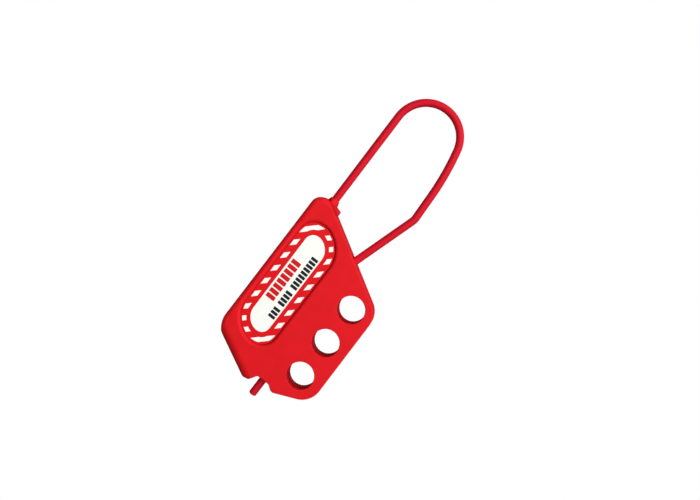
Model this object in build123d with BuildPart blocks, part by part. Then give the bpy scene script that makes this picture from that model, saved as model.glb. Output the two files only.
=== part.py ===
from build123d import *
import os

# Non-conductive lockout hasp: a flat nylon body that takes three padlocks, and a thin nylon
# shackle that slides out of it. Millimetres. The hasp lies on its back: +Z is out of the label
# face, +Y is the way the shackle lifts, and the origin is the centre of the middle padlock hole,
# at mid thickness, where the two shells meet and the shackle's centreline runs.

os.makedirs("parts", exist_ok=True)

# ---- body ----
shell_thickness = 5.0  # each of the two halves, either side of z = 0
left_x = -39.1
right_x = 9.9
top_y = 45.65
bay_top_y = -27.55
side_taper = 0.4  # each side edge leans in by this much from bottom to top
broad_edge_radius = 2.2  # rounding of the left half's front and rear edges
fine_edge_radius = 0.5  # rounding of the right half's
foot_edge_radius = 4.2  # deeper rounding along the slanting edge at the bottom left

# Corners of the body's outline, anticlockwise, each with its rounding. The slanted top edge
# runs from the hole side up to the collar; the bay at the bottom is the thumb notch.
body_corners = [
    (left_x, -22.0, 10.0),
    (-18.95, -32.25, 5.0),
    (-15.8, -31.45, 0),
    (-13.5, bay_top_y, 1.0),
    (-8.0, bay_top_y, 1.5),
    (-5.2, -29.5, 2.0),
    (right_x, -22.75, 9.0),
    (right_x - side_taper, 20.8, 8.5),
    (-32.8, top_y, 0),
    (left_x + side_taper, top_y, 4.5),
]
# Small lip beside the free leg's socket, standing a little proud of the slanted edge.
lip_corners = [(-33.5, 45.1, 0), (-29.7, 45.1, 0.4), (-27.3, 44.4, 0.5), (-27.3, 40.0, 0), (-33.5, 40.0, 0)]
lip_half_height = 3.6

# ---- padlock holes ----
padlock_radius = 5.6
padlock_pitch = 16.7
padlock_rim_radius = 0.3
padlock_ys = [-padlock_pitch, 0, padlock_pitch]

# ---- label and its recess: straight sides, round ends that lean towards the slanted edge ----
label_x = -26.4
label_y = 9.3
label_straight = 17.65  # half length of the straight sides
label_recess_radius = 9.3
label_lean = 0.235  # drop of the ends along Y for each millimetre of X
label_recess_depth = 0.9
label_rim_width = 0.8  # the recess's rim is bevelled by this much across the face
label_rim_drop = 0.85  # and this much down
label_rim_radius = 1.5  # rounding from the face into the bevel
label_gap = 0.15
label_thickness = 0.3
quarter_round = 0.5523  # handle length of a cubic curve that makes a quarter circle

# ---- cores that lighten the shells behind the label ----
core_width = 7.2
core_length = 9.6
core_pitch_x = 8.8
core_pitch_y = 11.2
core_rows = 4
core_depth = 2.4
core_corner_radius = 0.8

# ---- shackle ----
rod_radius = 1.6
rod_running_gap = 0.08
guide_x = -11.05  # straight run through the body
tail_y = -36.1
bend = (guide_x, 31.1)  # where the rod leans away, just inside the slanted edge
bend_radius = 3.5
knee = (-1.95, 60.0)
knee_radius = 6.0
bow_start = (-2.46, 71.75)  # the upper leg is straight up to here
bow_radius = 105.0
bow_angle = 11.0
loop_radius = 13.5
leg_tip_y = 34.5
rod_tip_chamfer = 0.35
socket_floor_y = 34.0
lift_travel = 24.0

# ---- boss round the mouth of the free leg's socket ----
boss_base_y = 44.6
boss_base_radius = 2.7
boss_top_y = 47.3
boss_top_radius = 1.95

# ---- lock plate, which padlocks trap, and its sleeve on the shackle ----
plate_thickness = 3.0
plate_gap = 0.1  # above and below the plate
plate_left_x = -8.0
plate_right_x = 7.0
plate_bottom_y = -24.0
plate_side_gap = 0.2
plate_mouth_inset = 0.8  # how far the plate sits inside the slanted edge
plate_hole_radius = 5.8
plate_heel_chamfer = 5.5
plate_toe_radius = 5.0
sleeve_radius = 2.7
sleeve_bottom_y = -10.0
sleeve_length = 10.0
sleeve_gap = 0.2
stop_gap = 0.05
sleeve_bore_gap = 0.02
cross_pin_radius = 0.6
cross_pin_gap = 0.01
cross_pin_length = 5.0
cross_pin_y = sleeve_bottom_y + sleeve_length / 2

# ---- shell screws ----
screw_points = [(-28.3, 39.9), (-15.2, 31.2), (-24.2, -22.8), (-5.6, -26.0)]
screw_radius = 1.0
screw_head_radius = 1.9
screw_sink = 0.1  # head lies this far below the rear face
screw_length = 8.0
screw_clearance_radius = 1.1
screw_pilot_radius = 1.02
screw_pilot_depth = 3.3
screw_slot_length = 2.2
screw_slot_width = 0.5
screw_slot_depth = 0.6

reach = 80.0  # longer than the body, for cuts that run out of it

front_face = Plane.XY.offset(shell_thickness)

# Section plane of the slanting bottom left edge: x out of the body, y up, origin on the edge.
foot_x, foot_y = body_corners[0][:2]
foot_run = body_corners[1][0] - foot_x
foot_rise = body_corners[1][1] - foot_y
foot_section = Plane(
    origin=(foot_x, foot_y, shell_thickness),
    x_dir=(foot_rise, -foot_run, 0),
    z_dir=(-foot_run, -foot_rise, 0),
)


def across(y):
    """Plane square to the shackle's travel, at y along it."""
    return Plane(origin=(0, y, 0), x_dir=(1, 0, 0), z_dir=(0, 1, 0))


def rounded_outline(corners):
    """Face with straight sides between the corners, each corner rounded by its own radius."""
    with BuildSketch() as face:
        with BuildLine():
            Polyline(*[(x, y) for x, y, radius in corners], close=True)
        make_face()
        for x, y, radius in corners:
            if radius > 0:
                fillet(face.vertices().sort_by_distance((x, y))[0], radius)
    return face.sketch_local


body_outline = rounded_outline(body_corners)
lip_outline = rounded_outline(lip_corners)

# Centreline of the shackle, tail to free leg: straight run, lean, bowed upper leg, loop, leg.
with BuildLine() as rod_line:
    Polyline((guide_x, tail_y), bend, knee, bow_start)
    fillet(rod_line.vertices().sort_by_distance(bend)[0], bend_radius)
    fillet(rod_line.vertices().sort_by_distance(knee)[0], knee_radius)
    lean = (bow_start[0] - knee[0], bow_start[1] - knee[1])
    bow = JernArc(bow_start, lean, bow_radius, bow_angle)
    lean_angle = Vector(*lean).get_signed_angle(Vector(0, 1))
    loop = JernArc(bow @ 1, bow % 1, loop_radius, 180 - bow_angle - lean_angle)
    leg_x = (loop @ 1).X
    Line(loop @ 1, (leg_x, leg_tip_y))


def label_outline(radius):
    """Label-shaped face: a slot along Y with half-round ends, skewed so that both ends lean."""

    def skewed(x, y):
        return (x, y - label_lean * x)

    with BuildSketch() as face:
        with BuildLine():
            for side in (1, -1):
                corner = side * radius
                base = side * label_straight
                handle = quarter_round * corner
                Bezier(
                    skewed(corner, base),
                    skewed(corner, base + handle),
                    skewed(handle, base + corner),
                    skewed(0, base + corner),
                )
                Bezier(
                    skewed(0, base + corner),
                    skewed(-handle, base + corner),
                    skewed(-corner, base + handle),
                    skewed(-corner, base),
                )
                Line(skewed(-corner, base), skewed(-corner, -base))
        make_face()
    return Location((label_x, label_y, 0)) * face.sketch_local


def half_shell():
    """Front half of the body, solid apart from what the shackle, plate and label need."""
    with BuildPart() as half:
        with BuildSketch():
            add(body_outline)
        extrude(amount=shell_thickness)
        outer_edges = half.faces().sort_by(Axis.Z)[-1].edges()
        broad_edges = outer_edges.filter_by_position(Axis.X, left_x - 1, -15.0)
        fillet(broad_edges, broad_edge_radius)
        outer_edges = half.faces().sort_by(Axis.Z)[-1].edges()
        fine_edges = outer_edges.filter_by_position(Axis.X, -14.9, right_x + 1)
        fillet(fine_edges, fine_edge_radius)

        with BuildSketch(foot_section):
            with Locations((-foot_edge_radius, -foot_edge_radius)):
                Rectangle(2 * foot_edge_radius, 2 * foot_edge_radius, align=(Align.MIN, Align.MIN))
                Circle(foot_edge_radius, mode=Mode.SUBTRACT)
        extrude(amount=reach, both=True, mode=Mode.SUBTRACT)

        with BuildSketch():
            add(lip_outline)
        extrude(amount=lip_half_height)
        with BuildSketch():
            with BuildLine():
                Polyline(
                    (leg_x, boss_base_y),
                    (leg_x + boss_base_radius, boss_base_y),
                    (leg_x + boss_top_radius, boss_top_y),
                    (leg_x, boss_top_y),
                    close=True,
                )
            make_face()
        revolve(axis=Axis((leg_x, 0, 0), (0, -1, 0)), revolution_arc=180)

        with Locations(*[(0, y, shell_thickness) for y in padlock_ys]):
            Hole(radius=padlock_radius)
        rims = half.edges().filter_by(GeomType.CIRCLE).group_by(Axis.Z)[-1]
        fillet(rims.filter_by(lambda rim: abs(rim.radius - padlock_radius) < 0.01), padlock_rim_radius)

        with BuildSketch(front_face):
            add(label_outline(label_recess_radius))
        extrude(amount=-label_recess_depth, mode=Mode.SUBTRACT)
        recess_rim = half.edges(Select.LAST).group_by(Axis.Z)[-1]
        chamfer(recess_rim, label_rim_width, label_rim_drop, reference=half.faces().sort_by(Axis.Z)[-1])
        bevel_rim = half.edges(Select.LAST).group_by(Axis.Z)[-1]
        fillet(bevel_rim, label_rim_radius)

        with BuildSketch():
            with Locations((label_x, label_y)):
                with GridLocations(core_pitch_x, core_pitch_y, 2, core_rows):
                    RectangleRounded(core_width, core_length, core_corner_radius)
        extrude(amount=core_depth, mode=Mode.SUBTRACT)

        # straight guide for the shackle's long leg, bay to slanted edge
        with BuildSketch(across(0)):
            with Locations((guide_x, 0)):
                Circle(rod_radius + rod_running_gap)
        extrude(amount=reach, both=True, mode=Mode.SUBTRACT)

        # the guide's mouth, opened along the lean of the rod
        with BuildSketch(Plane(origin=bend, z_dir=(knee[0] - bend[0], knee[1] - bend[1], 0))):
            Circle(rod_radius + rod_running_gap)
        extrude(amount=reach, mode=Mode.SUBTRACT)

        # blind socket for the free leg
        with BuildSketch(across(socket_floor_y)):
            with Locations((leg_x, 0)):
                Circle(rod_radius + rod_running_gap)
        extrude(amount=reach, mode=Mode.SUBTRACT)

        # the sleeve's pocket, whose two ends stop the travel
        with BuildSketch(across(sleeve_bottom_y - stop_gap)):
            with Locations((guide_x, 0)):
                Circle(sleeve_radius + sleeve_gap)
        extrude(amount=sleeve_length + lift_travel + 2 * stop_gap, mode=Mode.SUBTRACT)

        # the lock plate's pocket, open at the slanted edge
        with BuildSketch():
            add(plate_strip(plate_side_gap))
            with Locations((guide_x, sleeve_bottom_y - stop_gap)):
                web_travel = sleeve_length + lift_travel + 2 * stop_gap
                Rectangle(plate_left_x - guide_x, web_travel, align=(Align.MIN, Align.MIN))
        extrude(amount=plate_thickness / 2 + plate_gap, mode=Mode.SUBTRACT)
    return half.part


def plate_strip(gap):
    """The straight-sided strip that the lock plate slides in, grown by gap, heel corner cut."""
    return rounded_outline([
        (plate_left_x - gap, plate_bottom_y + plate_heel_chamfer - gap / 2, 0),
        (plate_left_x + plate_heel_chamfer - gap / 2, plate_bottom_y - gap, 0),
        (plate_right_x + gap, plate_bottom_y - gap, plate_toe_radius + gap),
        (plate_right_x + gap, reach, 0),
        (plate_left_x - gap, reach, 0),
    ])


# ---- front shell: blind pilots for the screws ----
blank = half_shell()

with BuildPart() as front_shell:
    add(blank)
    with BuildSketch():
        with Locations(*screw_points):
            Circle(screw_pilot_radius)
    extrude(amount=screw_pilot_depth, mode=Mode.SUBTRACT)
front_shell.part.label = "front_shell"
export_step(front_shell.part, "parts/front_shell.step")

# ---- rear shell: the same moulding in mirror image, countersunk for the screws ----
with BuildPart() as rear_shell:
    mirror(blank, about=Plane.XY)
    with Locations(*[Plane(origin=(x, y, -shell_thickness), z_dir=(0, 0, -1)) for x, y in screw_points]):
        CounterSinkHole(screw_clearance_radius, screw_head_radius + screw_sink, counter_sink_angle=90)
rear_shell.part.label = "rear_shell"
export_step(rear_shell.part, "parts/rear_shell.step")

# ---- shackle: one bent rod, tail to free leg ----
with BuildPart() as shackle:
    with BuildSketch(across(tail_y)):
        with Locations((guide_x, 0)):
            Circle(rod_radius)
    sweep(path=rod_line.wires()[0])
    chamfer(shackle.edges().filter_by(GeomType.CIRCLE).group_by(Axis.Y)[0], rod_tip_chamfer)
    with Locations((guide_x, cross_pin_y)):
        Cylinder(cross_pin_radius, 4 * rod_radius, mode=Mode.SUBTRACT)
shackle.part.label = "shackle"
export_step(shackle.part, "parts/shackle.step")

# ---- lock plate: three padlock holes, and a sleeve round the shackle's long leg ----
with BuildPart() as lock_plate:
    with BuildSketch(Plane.XY.offset(-plate_thickness / 2)):
        add(body_outline)
        offset(amount=-plate_mouth_inset)
        add(plate_strip(0), mode=Mode.INTERSECT)
        with Locations((guide_x, cross_pin_y)):
            Rectangle(plate_left_x - guide_x + 1, sleeve_length, align=(Align.MIN, Align.CENTER))
        with Locations(*[(0, y) for y in padlock_ys]):
            Circle(plate_hole_radius, mode=Mode.SUBTRACT)
    extrude(amount=plate_thickness)
    with BuildSketch(across(sleeve_bottom_y)):
        with Locations((guide_x, 0)):
            Circle(sleeve_radius)
    extrude(amount=sleeve_length)
    with BuildSketch(across(0)):
        with Locations((guide_x, 0)):
            Circle(rod_radius + sleeve_bore_gap)
    extrude(amount=reach, both=True, mode=Mode.SUBTRACT)
    with Locations((guide_x, cross_pin_y)):
        Cylinder(cross_pin_radius, 4 * sleeve_radius, mode=Mode.SUBTRACT)
lock_plate.part.label = "lock_plate"
export_step(lock_plate.part, "parts/lock_plate.step")

# ---- cross pin: holds the lock plate's sleeve on the shackle ----
with BuildPart() as shackle_cross_pin:
    with Locations((guide_x, cross_pin_y)):
        Cylinder(cross_pin_radius - cross_pin_gap, cross_pin_length)
shackle_cross_pin.part.label = "shackle_cross_pin"
export_step(shackle_cross_pin.part, "parts/shackle_cross_pin.step")

# ---- shell screws: four nylon countersunk screws, put in from the rear ----
screw_head_z = screw_sink - shell_thickness

with BuildPart() as screw:
    with BuildSketch(Plane.XZ):
        with BuildLine():
            Polyline(
                (0, screw_head_z),
                (screw_head_radius, screw_head_z),
                (screw_radius, screw_head_z + screw_head_radius - screw_radius),
                (screw_radius, screw_head_z + screw_length),
                (0, screw_head_z + screw_length),
                close=True,
            )
        make_face()
    revolve(axis=Axis.Z)
    with BuildSketch(Plane.XY.offset(screw_head_z)):
        Rectangle(screw_slot_length, screw_slot_width)
        Rectangle(screw_slot_width, screw_slot_length)
    extrude(amount=screw_slot_depth, mode=Mode.SUBTRACT)

with BuildPart() as shell_screws:
    with Locations(*screw_points):
        add(screw.part)
shell_screws.part.label = "shell_screws"
export_step(shell_screws.part, "parts/shell_screws.step")


def label_sheet(bottom_z):
    """Printed label that lies in one shell's recess, its underside at bottom_z."""
    with BuildPart() as sheet:
        with BuildSketch(Plane.XY.offset(bottom_z)):
            add(label_outline(label_recess_radius - label_gap))
        extrude(amount=label_thickness)
    return sheet.part


# ---- labels ----
front_label = label_sheet(shell_thickness - label_recess_depth)
front_label.label = "front_label"
export_step(front_label, "parts/front_label.step")

rear_label = label_sheet(label_recess_depth - label_thickness - shell_thickness)
rear_label.label = "rear_label"
export_step(rear_label, "parts/rear_label.step")
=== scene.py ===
import math

import bpy
from mathutils import Matrix, Vector

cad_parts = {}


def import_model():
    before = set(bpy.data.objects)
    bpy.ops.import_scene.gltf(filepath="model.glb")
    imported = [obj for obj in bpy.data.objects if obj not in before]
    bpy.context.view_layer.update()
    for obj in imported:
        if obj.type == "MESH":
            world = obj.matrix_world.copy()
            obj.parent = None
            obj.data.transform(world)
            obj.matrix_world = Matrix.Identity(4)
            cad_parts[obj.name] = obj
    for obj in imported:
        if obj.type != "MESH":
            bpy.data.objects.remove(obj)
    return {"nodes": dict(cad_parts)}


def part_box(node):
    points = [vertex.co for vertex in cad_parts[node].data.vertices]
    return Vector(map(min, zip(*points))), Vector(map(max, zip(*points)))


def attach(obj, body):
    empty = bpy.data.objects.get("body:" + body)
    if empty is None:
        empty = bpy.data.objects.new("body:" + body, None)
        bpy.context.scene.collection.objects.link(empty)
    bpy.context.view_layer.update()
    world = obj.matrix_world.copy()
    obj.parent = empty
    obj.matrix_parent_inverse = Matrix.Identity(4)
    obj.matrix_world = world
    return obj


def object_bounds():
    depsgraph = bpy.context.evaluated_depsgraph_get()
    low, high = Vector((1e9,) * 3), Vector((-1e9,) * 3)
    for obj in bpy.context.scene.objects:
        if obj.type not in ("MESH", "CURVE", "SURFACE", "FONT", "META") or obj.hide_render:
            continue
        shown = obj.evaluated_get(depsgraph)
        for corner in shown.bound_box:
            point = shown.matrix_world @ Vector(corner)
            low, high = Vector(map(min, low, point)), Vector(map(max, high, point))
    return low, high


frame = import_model()
cad_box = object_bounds()

MM = 0.001

# ---------------------------------------------------------------- print on the label
label_low, label_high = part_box("front_label")
label_centre = (label_low + label_high) / 2
label_lean = 0.235  # drop of the artwork along Y for each unit of X
straight = 17.65 * MM  # half length of the artwork's straight sides
panel_radius = 5.07 * MM
panel_straight = 17.25 * MM
band_inner = 6.72 * MM
band_outer = 8.6 * MM
stripe_slope = 0.975
stripe_pitch = 6.466 * MM
stripe_height = 2.75 * MM
stripe_phase = 3.14 * MM
stripe_reach = 40 * MM  # stripes are laid this far each way, past the ends of the label
ink_thickness = 0.03 * MM
# rows of plain bars: x from, x to, pitch, bar width, then (first y, number of bars) for each group
red_row = (-4.3 * MM, -0.2 * MM, 2.4 * MM, 1.85 * MM, [(-9.1 * MM, 8)])
dark_groups = [(-14.9 * MM, 3), (-8.5 * MM, 4), (-0.2 * MM, 9)]
dark_row = (1.35 * MM, 4.45 * MM, 1.72 * MM, 1.25 * MM, dark_groups)

# ---------------------------------------------------------------- camera
camera_at = Vector((3.48, 63.69, 331.42)) * MM
camera_right = Vector((0.78963, 0.60591, -0.09672))
camera_up = Vector((-0.61106, 0.79082, -0.03463))
camera_lens = 42.84
sensor_width = 36
near_clip = 0.01

# ---------------------------------------------------------------- light
aim = Vector((-15, 20, 0)) * MM  # about the middle of the hasp
key_azimuth = math.radians(52)  # from +X, in the floor's plane
key_height = math.radians(52)  # above the floor
key_distance = 0.8
key_size = 1.5
key_power = 17.8
floor_grey = 0.2  # what the floor throws back on the hasp
floor_half = 3.0

# ---------------------------------------------------------------- wear and painted shade of the nylon
worn_edge_radius = 0.5 * MM
hole_reach = 13 * MM  # a little more than the width of a padlock hole; reach of the painted shade in holes
groove_reach = 1.6 * MM
groove_shadow_side = (-0.9, -0.44, 0.0)  # away from the light; groove faces leaning this way get painted shadow


# ================================================================ node helpers
def new_material(name):
    """Empty node material with a Principled shader on its output."""
    material = bpy.data.materials.new(name)
    material.use_nodes = True
    tree = material.node_tree
    tree.nodes.clear()
    output = tree.nodes.new("ShaderNodeOutputMaterial")
    shader = tree.nodes.new("ShaderNodeBsdfPrincipled")
    tree.links.new(shader.outputs["BSDF"], output.inputs["Surface"])
    return material, tree, shader


def srgb(red, green, blue):
    """Linear RGBA of an sRGB colour given as 0 to 255."""
    def linear(value):
        value /= 255
        return value / 12.92 if value <= 0.04045 else ((value + 0.055) / 1.055) ** 2.4

    return (linear(red), linear(green), linear(blue), 1.0)


def noise(tree, scale, detail=3.0, roughness=0.5, stretch=None):
    """Noise in the part's own coordinates; scale is features per metre."""
    place = tree.nodes.new("ShaderNodeTexCoord")
    mapping = tree.nodes.new("ShaderNodeMapping")
    texture = tree.nodes.new("ShaderNodeTexNoise")
    if stretch:
        mapping.inputs["Scale"].default_value = stretch
    texture.inputs["Scale"].default_value = scale
    texture.inputs["Detail"].default_value = detail
    texture.inputs["Roughness"].default_value = roughness
    tree.links.new(place.outputs["Object"], mapping.inputs["Vector"])
    tree.links.new(mapping.outputs["Vector"], texture.inputs["Vector"])
    return texture.outputs["Fac"]


def remap(tree, value, from_low, from_high, to_low, to_high):
    """Linear map of a value from one range to another, clamped."""
    node = tree.nodes.new("ShaderNodeMapRange")
    node.inputs["From Min"].default_value = from_low
    node.inputs["From Max"].default_value = from_high
    node.inputs["To Min"].default_value = to_low
    node.inputs["To Max"].default_value = to_high
    tree.links.new(value, node.inputs["Value"])
    return node.outputs["Result"]


def maths(tree, operation, a, b):
    """Result of a math node; a and b are numbers or sockets."""
    node = tree.nodes.new("ShaderNodeMath")
    node.operation = operation
    for socket, value in zip(node.inputs, (a, b)):
        if isinstance(value, (int, float)):
            socket.default_value = value
        else:
            tree.links.new(value, socket)
    return node.outputs["Value"]


def mix_colour(tree, factor, a, b):
    """Colour a where factor is 0 and b where it is 1."""
    node = tree.nodes.new("ShaderNodeMix")
    node.data_type = "RGBA"
    colours = [s for s in node.inputs if s.type == "RGBA"]
    for socket, value in zip(colours, (a, b)):
        if isinstance(value, tuple):
            socket.default_value = value
        else:
            tree.links.new(value, socket)
    if isinstance(factor, (int, float)):
        node.inputs["Factor"].default_value = factor
    else:
        tree.links.new(factor, node.inputs["Factor"])
    return [s for s in node.outputs if s.type == "RGBA"][0]


def bump(tree, shader, heights):
    """Chains bumps; heights is a list of (height socket, depth in metres, strength)."""
    normal = None
    for height, distance, strength in heights:
        node = tree.nodes.new("ShaderNodeBump")
        node.inputs["Distance"].default_value = distance
        node.inputs["Strength"].default_value = strength
        tree.links.new(height, node.inputs["Height"])
        if normal:
            tree.links.new(normal, node.inputs["Normal"])
        normal = node.outputs["Normal"]
    tree.links.new(normal, shader.inputs["Normal"])


def cavity_mask(tree, reach, open_value, closed_value):
    """0 in the open, 1 in holes and corners that are narrower than reach."""
    occlusion = tree.nodes.new("ShaderNodeAmbientOcclusion")
    occlusion.samples = 8
    occlusion.only_local = True
    occlusion.inputs["Distance"].default_value = reach
    return remap(tree, occlusion.outputs["AO"], open_value, closed_value, 0.0, 1.0)


def facing(tree, direction):
    """0 on faces square to a direction or turned from it, 1 on those leaning well towards it."""
    geometry = tree.nodes.new("ShaderNodeNewGeometry")
    dot = tree.nodes.new("ShaderNodeVectorMath")
    dot.operation = "DOT_PRODUCT"
    dot.inputs[1].default_value = direction
    tree.links.new(geometry.outputs["Normal"], dot.inputs[0])
    return remap(tree, dot.outputs["Value"], 0.0, 0.5, 0.0, 1.0)


def edge_mask(tree, radius):
    """1 on outside edges rounded tighter than radius, 0 on flat faces."""
    bevel = tree.nodes.new("ShaderNodeBevel")
    bevel.samples = 4
    bevel.inputs["Radius"].default_value = radius
    geometry = tree.nodes.new("ShaderNodeNewGeometry")
    dot = tree.nodes.new("ShaderNodeVectorMath")
    dot.operation = "DOT_PRODUCT"
    tree.links.new(bevel.outputs["Normal"], dot.inputs[0])
    tree.links.new(geometry.outputs["Normal"], dot.inputs[1])
    return remap(tree, dot.outputs["Value"], 0.995, 0.93, 0.0, 1.0)


# ================================================================ materials
def nylon(name, colour, roughness, grain, specular=0.08, wear=0.3):
    """Moulded nylon: mottled colour, spark texture, scuffs, worn edges, painted shade down the holes and
    painted shadow in narrow corners turned away from the light.
    """
    material, tree, shader = new_material(name)
    mottle = remap(tree, noise(tree, scale=160, detail=4.0), 0.3, 0.7, 0.0, 1.0)
    darker = tuple(c * 0.95 for c in colour[:3]) + (1.0,)
    lighter = tuple(min(1.0, c * 1.04) for c in colour[:3]) + (1.0,)
    base = mix_colour(tree, mottle, darker, lighter)
    patchy = remap(tree, noise(tree, scale=900, detail=2.0), 0.42, 0.6, 0.0, wear)
    edges = maths(tree, "MULTIPLY", edge_mask(tree, worn_edge_radius), patchy)
    worn = (min(1.0, colour[0] * 1.06), colour[1] + 0.012, colour[2] + 0.012, 1.0)
    base = mix_colour(tree, edges, base, worn)
    # painted shade: colour darkened down the holes and in wide hollows, where shade falls
    shade = tuple(c * 0.25 for c in colour[:3]) + (1.0,)
    base = mix_colour(tree, cavity_mask(tree, hole_reach, 0.9, 0.4), base, shade)
    # painted shadow: colour darkened in narrow corners on faces turned away from the light
    painted_groove_shadow = tuple(c * 0.2 for c in colour[:3]) + (1.0,)
    narrow = cavity_mask(tree, groove_reach, 0.98, 0.88)
    groove_shadow_mask = maths(tree, "MULTIPLY", narrow, facing(tree, groove_shadow_side))
    base = mix_colour(tree, groove_shadow_mask, base, painted_groove_shadow)
    tree.links.new(base, shader.inputs["Base Color"])
    scuffs = noise(tree, scale=300, detail=5.0, roughness=0.7, stretch=(1.0, 0.25, 1.0))
    rough = remap(tree, scuffs, 0.35, 0.7, roughness - 0.05, roughness + 0.1)
    tree.links.new(rough, shader.inputs["Roughness"])
    shader.inputs["Specular IOR Level"].default_value = specular
    bump(tree, shader, [
        (noise(tree, scale=60, detail=1.0), 0.2 * MM, 0.08),
        (noise(tree, scale=3800, detail=2.0), 0.02 * MM, grain),
    ])
    return material


def drawn_rod(name, colour):
    """Extruded nylon rod: fine lines along its length and a soft sheen."""
    material, tree, shader = new_material(name)
    mottle = remap(tree, noise(tree, scale=220, detail=4.0), 0.3, 0.7, 0.0, 1.0)
    darker = tuple(c * 0.92 for c in colour[:3]) + (1.0,)
    base = mix_colour(tree, mottle, darker, colour)
    tree.links.new(base, shader.inputs["Base Color"])
    rough = remap(tree, noise(tree, scale=700, detail=3.0), 0.3, 0.7, 0.5, 0.62)
    tree.links.new(rough, shader.inputs["Roughness"])
    shader.inputs["Specular IOR Level"].default_value = 0.1
    bump(tree, shader, [
        (noise(tree, scale=500, detail=2.0, stretch=(6.0, 0.3, 6.0)), 0.03 * MM, 0.15),
        (noise(tree, scale=4200, detail=2.0), 0.015 * MM, 0.2),
    ])
    return material


def film(name, colour, roughness):
    """Printed polyester film: nearly flat, with a faint orange-peel and soft wear."""
    material, tree, shader = new_material(name)
    mottle = remap(tree, noise(tree, scale=400, detail=3.0), 0.35, 0.65, 0.0, 1.0)
    faded = tuple(c * 0.96 for c in colour[:3]) + (1.0,)
    tree.links.new(mix_colour(tree, mottle, faded, colour), shader.inputs["Base Color"])
    rough = remap(tree, noise(tree, scale=900, detail=3.0), 0.3, 0.7, roughness - 0.04, roughness + 0.08)
    tree.links.new(rough, shader.inputs["Roughness"])
    shader.inputs["Specular IOR Level"].default_value = 0.12
    bump(tree, shader, [(noise(tree, scale=1500, detail=1.0), 0.01 * MM, 0.15)])
    return material


body_red = nylon("body_nylon", srgb(222, 24, 32), 0.55, 0.25)
# painted shade: the lock plate is the body's nylon coloured darker, since it is seen only down the holes
# and in the mouth
plate_red_painted_shade = nylon("plate_nylon", srgb(172, 20, 26), 0.6, 0.3, wear=0.2)
screw_red = nylon("screw_nylon", srgb(205, 24, 30), 0.55, 0.3)
rod_red = drawn_rod("shackle_nylon", srgb(208, 18, 38))
film_red = film("label_film", srgb(224, 18, 26), 0.4)
film_white = film("label_white", srgb(252, 254, 247), 0.34)
ink_dark = film("label_ink", srgb(24, 34, 38), 0.5)
ink_red = film("label_red_ink", srgb(212, 24, 28), 0.45)

node_materials = {
    "front_shell": body_red,
    "rear_shell": body_red,
    "shackle": rod_red,
    "lock_plate": plate_red_painted_shade,
    "shackle_cross_pin": screw_red,
    "shell_screws": screw_red,
    "front_label": film_red,
    "rear_label": film_red,
}
for node, material in node_materials.items():
    slots = frame["nodes"][node].material_slots
    if not slots:
        frame["nodes"][node].data.materials.append(None)
    for slot in frame["nodes"][node].material_slots:
        slot.link = "OBJECT"
        slot.material = material


# ================================================================ label artwork
def leaning_slot(radius, half_straight, steps=24):
    """Outline of the label's slot shape, about its own centre, anticlockwise."""
    outline = []
    for side in (1, -1):
        for i in range(steps + 1):
            angle = math.pi * i / steps
            x = side * radius * math.cos(angle)
            y = side * (half_straight + radius * math.sin(angle))
            outline.append((x, y - label_lean * x))
    return outline


def clip(outline, slope, level, keep_above):
    """Part of a convex or simple outline above or below the line y = slope x + level."""
    def height(point):
        rise = point[1] - slope * point[0] - level
        return rise if keep_above else -rise

    kept = []
    for here, there in zip(outline, outline[1:] + outline[:1]):
        a, b = height(here), height(there)
        if a >= 0:
            kept.append(here)
        if (a >= 0) != (b >= 0):
            t = a / (a - b)
            kept.append((here[0] + t * (there[0] - here[0]), here[1] + t * (there[1] - here[1])))
    return kept


def printed(name, outlines, material, level, flip):
    """Thin ink layer on a label: each outline becomes a slab, upwards or, with flip -1, downwards."""
    vertices, faces = [], []
    for outline in outlines:
        first, count = len(vertices), len(outline)
        for z in (0, ink_thickness):
            for x, y in outline:
                vertices.append((label_centre.x + x, label_centre.y + y, level + flip * z))
        faces.append(tuple(first + count + i for i in range(count)))
        faces.append(tuple(first + i for i in reversed(range(count))))
        for i in range(count):
            j = (i + 1) % count
            faces.append((first + i, first + j, first + count + j, first + count + i))
    mesh = bpy.data.meshes.new(name)
    mesh.from_pydata(vertices, [], faces)
    if flip < 0:
        mesh.flip_normals()
    mesh.materials.append(material)
    piece = bpy.data.objects.new(name, mesh)
    bpy.context.scene.collection.objects.link(piece)
    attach(piece, "hasp_body")


def stripe_patches():
    """White patches: where the slanted stripes cross the band round the panel."""
    outer = leaning_slot(band_outer, straight)
    inner = leaning_slot(band_inner, straight)
    pieces = []
    # the band is cut into thin convex cells between matching inner and outer points
    cells = []
    count = len(outer)
    for i in range(count):
        j = (i + 1) % count
        cells.append([outer[i], outer[j], inner[j], inner[i]])
    lowest = int(-stripe_reach / stripe_pitch)
    for k in range(lowest, -lowest + 1):
        middle = stripe_phase + k * stripe_pitch
        for cell in cells:
            patch = clip(cell, stripe_slope, middle - stripe_height / 2, True)
            if len(patch) > 2:
                patch = clip(patch, stripe_slope, middle + stripe_height / 2, False)
            if len(patch) > 2:
                pieces.append(patch)
    return pieces


def bar(x_low, x_high, y_low, y_high, corner=0.25 * MM, steps=3):
    """Rounded bar, about the label's centre."""
    outline = []
    for cx, cy, start in (
        (x_high - corner, y_high - corner, 0),
        (x_low + corner, y_high - corner, 90),
        (x_low + corner, y_low + corner, 180),
        (x_high - corner, y_low + corner, 270),
    ):
        for i in range(steps + 1):
            angle = math.radians(start + 90 * i / steps)
            outline.append((cx + corner * math.cos(angle), cy + corner * math.sin(angle)))
    return outline


def row_of_bars(row):
    """Plain equal bars side by side along Y, in groups, standing in for print."""
    x_low, x_high, pitch, width, groups = row
    bars = []
    for start, count in groups:
        for i in range(count):
            y = start + i * pitch
            bars.append(bar(x_low, x_high, y, y + width))
    return bars


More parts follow.
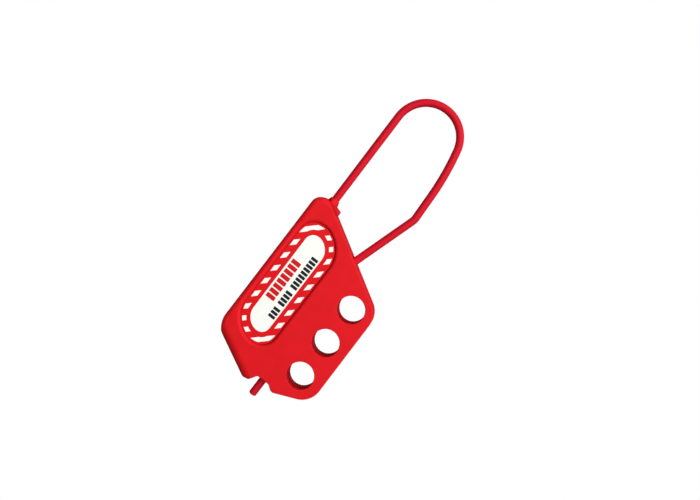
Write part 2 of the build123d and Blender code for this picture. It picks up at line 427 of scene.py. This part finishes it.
def dress_label(prefix, level, flip):
    """Panel and stripes on the film, then both rows of bars on the panel."""
    panel = [leaning_slot(panel_radius, panel_straight)]
    printed(prefix + "_label_panel", panel, film_white, level, flip)
    printed(prefix + "_label_stripes", stripe_patches(), film_white, level, flip)
    top = level + flip * ink_thickness
    printed(prefix + "_label_red_bars", row_of_bars(red_row), ink_red, top, flip)
    printed(prefix + "_label_dark_bars", row_of_bars(dark_row), ink_dark, top, flip)


dress_label("front", label_high.z, 1)
dress_label("rear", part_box("rear_label")[0].z, -1)


# ================================================================ stage
def floor():
    """Pale floor that reads as plain white to the camera and grey to the object."""
    rest_z = cad_box[0].z
    corners = [(-1, -1), (1, -1), (1, 1), (-1, 1)]
    mesh = bpy.data.meshes.new("floor")
    mesh.from_pydata([(x * floor_half, y * floor_half, rest_z) for x, y in corners], [], [(0, 1, 2, 3)])
    material, tree, shader = new_material("floor")
    shader.inputs["Base Color"].default_value = (floor_grey, floor_grey, floor_grey, 1)
    shader.inputs["Roughness"].default_value = 0.9
    shader.inputs["Specular IOR Level"].default_value = 0.0
    glow = tree.nodes.new("ShaderNodeEmission")
    glow.inputs["Color"].default_value = (1, 1, 1, 1)
    glow.inputs["Strength"].default_value = 1.0
    path = tree.nodes.new("ShaderNodeLightPath")
    mix = tree.nodes.new("ShaderNodeMixShader")
    output = next(n for n in tree.nodes if n.type == "OUTPUT_MATERIAL")
    tree.links.new(path.outputs["Is Camera Ray"], mix.inputs["Fac"])
    tree.links.new(shader.outputs["BSDF"], mix.inputs[1])
    tree.links.new(glow.outputs["Emission"], mix.inputs[2])
    tree.links.new(mix.outputs["Shader"], output.inputs["Surface"])
    mesh.materials.append(material)
    piece = bpy.data.objects.new("floor", mesh)
    bpy.context.scene.collection.objects.link(piece)


def world():
    """White to the camera; it gives the object no light."""
    scene_world = bpy.data.worlds.new("studio")
    bpy.context.scene.world = scene_world
    scene_world.use_nodes = True
    tree = scene_world.node_tree
    tree.nodes.clear()
    output = tree.nodes.new("ShaderNodeOutputWorld")
    dark = tree.nodes.new("ShaderNodeBackground")
    dark.inputs["Strength"].default_value = 0.0
    white = tree.nodes.new("ShaderNodeBackground")
    white.inputs["Color"].default_value = (1, 1, 1, 1)
    white.inputs["Strength"].default_value = 1.0
    path = tree.nodes.new("ShaderNodeLightPath")
    mix = tree.nodes.new("ShaderNodeMixShader")
    tree.links.new(path.outputs["Is Camera Ray"], mix.inputs["Fac"])
    tree.links.new(dark.outputs["Background"], mix.inputs[1])
    tree.links.new(white.outputs["Background"], mix.inputs[2])
    tree.links.new(mix.outputs["Shader"], output.inputs["Surface"])


def key_light():
    """One large soft box, up and towards the hole side and the loop."""
    data = bpy.data.lights.new("key", "AREA")
    data.shape = "SQUARE"
    data.size = key_size
    data.energy = key_power
    light = bpy.data.objects.new("key", data)
    away = Vector((
        math.cos(key_height) * math.cos(key_azimuth),
        math.cos(key_height) * math.sin(key_azimuth),
        math.sin(key_height),
    ))
    light.location = aim + key_distance * away
    light.rotation_mode = "QUATERNION"
    light.rotation_quaternion = away.to_track_quat("Z", "Y")
    bpy.context.scene.collection.objects.link(light)


def camera():
    """Camera at the given place, with its axes squared up."""
    data = bpy.data.cameras.new("camera")
    data.lens = camera_lens
    data.sensor_width = sensor_width
    data.clip_start = near_clip
    piece = bpy.data.objects.new("camera", data)
    back = camera_right.cross(camera_up).normalized()
    up = back.cross(camera_right).normalized()
    right = up.cross(back)
    piece.matrix_world = Matrix.Translation(camera_at) @ Matrix((right, up, back)).transposed().to_4x4()
    bpy.context.scene.collection.objects.link(piece)
    bpy.context.scene.camera = piece


floor()
world()
key_light()
camera()
bpy.context.scene.view_settings.view_transform = "Standard"
